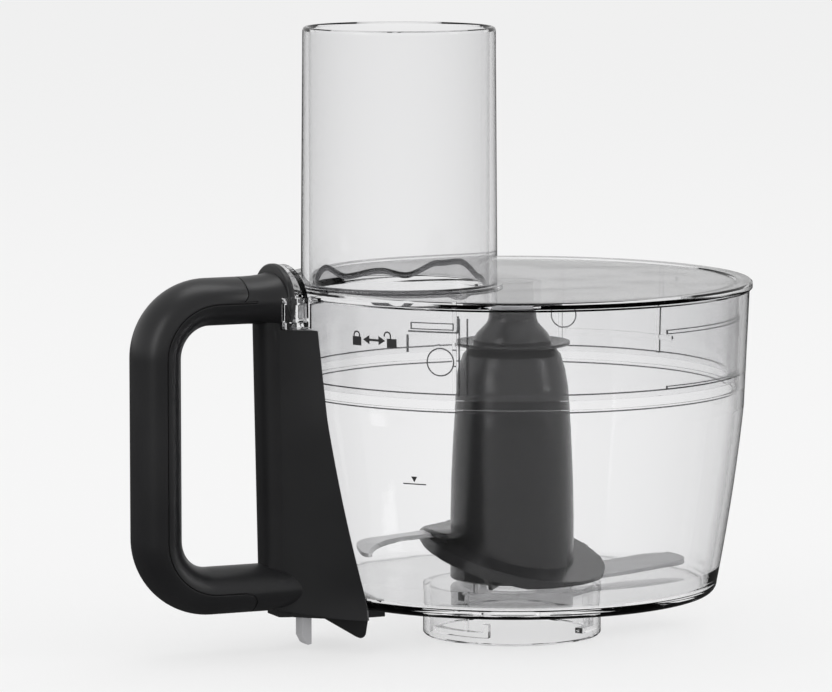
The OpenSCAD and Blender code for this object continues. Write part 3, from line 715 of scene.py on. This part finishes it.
# ---- Lid and feed tube ----
# The clear lid has a flat disc, a bead that lies on the bowl's rim and a skirt inside it. The wide
# tube is welded on, with an uneven run of melted plastic round the joint. A grey bush in the lid's
# centre takes the pin on top of the knife.
lid_clear = clear_plastic("lid_clear", (0.935, 0.935, 0.938), (0.84, 0.84, 0.845), (0.12, 0.12, 0.125), 0.05)
tube_clear = clear_plastic("tube_clear", (0.95, 0.95, 0.953), (0.8, 0.8, 0.805), (0.06, 0.06, 0.065), 0.08)
# Near-black clear plastic: painted shade for the dark lines that edges, ridges and joints draw in clear
# plastic
painted_shade_clear = clear_plastic("painted_shade_clear", (0.16, 0.16, 0.165), (0.1, 0.1, 0.105), (0.02, 0.02, 0.025), 0.05)
bush_grey = satin("bush_grey", (0.5, 0.5, 0.51), (0.57, 0.57, 0.58), 0.4, 0.5, 700, 0.1)
dress("lid", lid_clear)
dress("feed_tube", tube_clear)
dress("lid_bush", bush_grey)


def thin_ring(name, centre_x, height, ring_r, wire_r, body):
    """A fine ring all round, in near-black clear plastic: painted shade for the dark line where two clear
    surfaces meet
    """
    deselect()
    bpy.ops.mesh.primitive_torus_add(location=(centre_x, 0, height), major_radius=ring_r,
                                     minor_radius=wire_r, major_segments=180, minor_segments=10)
    ring = bpy.context.object
    ring.name = name
    bpy.ops.object.transform_apply(location=True, rotation=True, scale=True)
    bpy.ops.object.shade_smooth()
    ring.data.materials.append(painted_shade_clear)
    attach(ring, body)
    return ring


tube_x, disc_top = -0.0496, 0.1424
# The run of melted plastic is real shape; its near-black colour is painted shade
weld = thin_ring("tube_weld", tube_x, disc_top + 0.0003, 0.0351, 0.0013, "lid")
# Height of the run in millimetres at angles round the tube, from its far side
crests = [(-180, 0), (-85, 0), (-61, 4.8), (-39, 0.2), (-14, 1.9), (3, 0), (27, 5.4), (44, 6.6), (69, 1.7),
          (88, 0), (180, 0)]
far_side = 65
for v in weld.data.vertices:
    way = (far_side - math.degrees(math.atan2(v.co.y, v.co.x - tube_x)) + 180) % 360 - 180
    for (a0, h0), (a1, h1) in zip(crests, crests[1:]):
        if a0 <= way <= a1:
            s = (way - a0) / (a1 - a0)
            lift = h0 + (h1 - h0) * (3 * s * s - 2 * s * s * s)
    v.co.z += lift * mm
# Painted shade: dark rings where the lid's skirt and the bowl's ledge meet the wall
thin_ring("skirt_shade_line", 0, 0.1068, 0.0888, 0.0003, "lid")
thin_ring("ledge_shade_line", 0, 0.0999, 0.0884, 0.0003, "bowl")


skirt_r = 0.0904


def on_skirt(piece, angle, height):
    """Lays a flat detail on the lid's skirt, its thickness along the radius"""
    for v in piece.data.vertices:
        r = skirt_r + v.co.z
        turn = math.radians(angle) + v.co.x / skirt_r
        v.co = (r * math.cos(turn), r * math.sin(turn), height + v.co.y)


# Round marks left by the mould's gates, in near-black clear plastic as painted shade
for name, angle, height in (("gate_front", -132.7, 0.1194), ("gate_right", -30, 0.1265),
                            ("gate_back", 51, 0.1194)):
    deselect()
    bpy.ops.mesh.primitive_torus_add(major_radius=0.0053, minor_radius=0.00028, major_segments=64,
                                     minor_segments=8)
    gate = bpy.context.object
    gate.name = name
    on_skirt(gate, angle, height)
    bpy.ops.object.shade_smooth()
    gate.data.materials.append(painted_shade_clear)
    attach(gate, "lid")

# Low ridges and frames on the skirt, in near-black clear plastic as painted shade: angle round the bowl,
# height, length and width of each
for name, angle, height, wide, high in (
        ("slot_frame", -134.8, 0.1332, 0.0175, 0.0028), ("ramp_high", -54, 0.1293, 0.064, 0.0018),
        ("ramp_low", -54, 0.1076, 0.064, 0.0014), ("ridge_level", -134.6, 0.131, 0.0202, 0.0006),
        ("ridge_down", -141.2, 0.1262, 0.0007, 0.0068), ("ridge_up", -128.2, 0.1342, 0.0007, 0.0064),
        ("ridge_tall_a", -127.9, 0.1215, 0.0006, 0.03), ("ridge_tall_b", -125.9, 0.1215, 0.0006, 0.03),
        ("ramp_high_back", 120, 0.1293, 0.05, 0.0007)):
    deselect()
    bpy.ops.mesh.primitive_grid_add(x_subdivisions=24, y_subdivisions=1, size=1)
    ridge = bpy.context.object
    ridge.name = name
    ridge.scale = (wide, high, 1)
    bpy.ops.object.transform_apply(location=True, rotation=True, scale=True)
    bpy.ops.object.mode_set(mode="EDIT")
    bpy.ops.mesh.select_all(action="SELECT")
    if name in ("slot_frame", "ramp_high", "ramp_low"):
        bpy.ops.mesh.inset(thickness=0.0004)
        bpy.ops.mesh.delete(type="FACE")
        bpy.ops.mesh.select_all(action="SELECT")
    bpy.ops.mesh.extrude_region_move(TRANSFORM_OT_translate={"value": (0, 0, 0.0006)})
    bpy.ops.mesh.select_all(action="SELECT")
    bpy.ops.mesh.normals_make_consistent(inside=False)
    bpy.ops.object.mode_set(mode="OBJECT")
    on_skirt(ridge, angle, height)
    bpy.ops.object.shade_smooth_by_angle(angle=math.radians(30))
    ridge.data.materials.append(painted_shade_clear)
    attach(ridge, "lid")
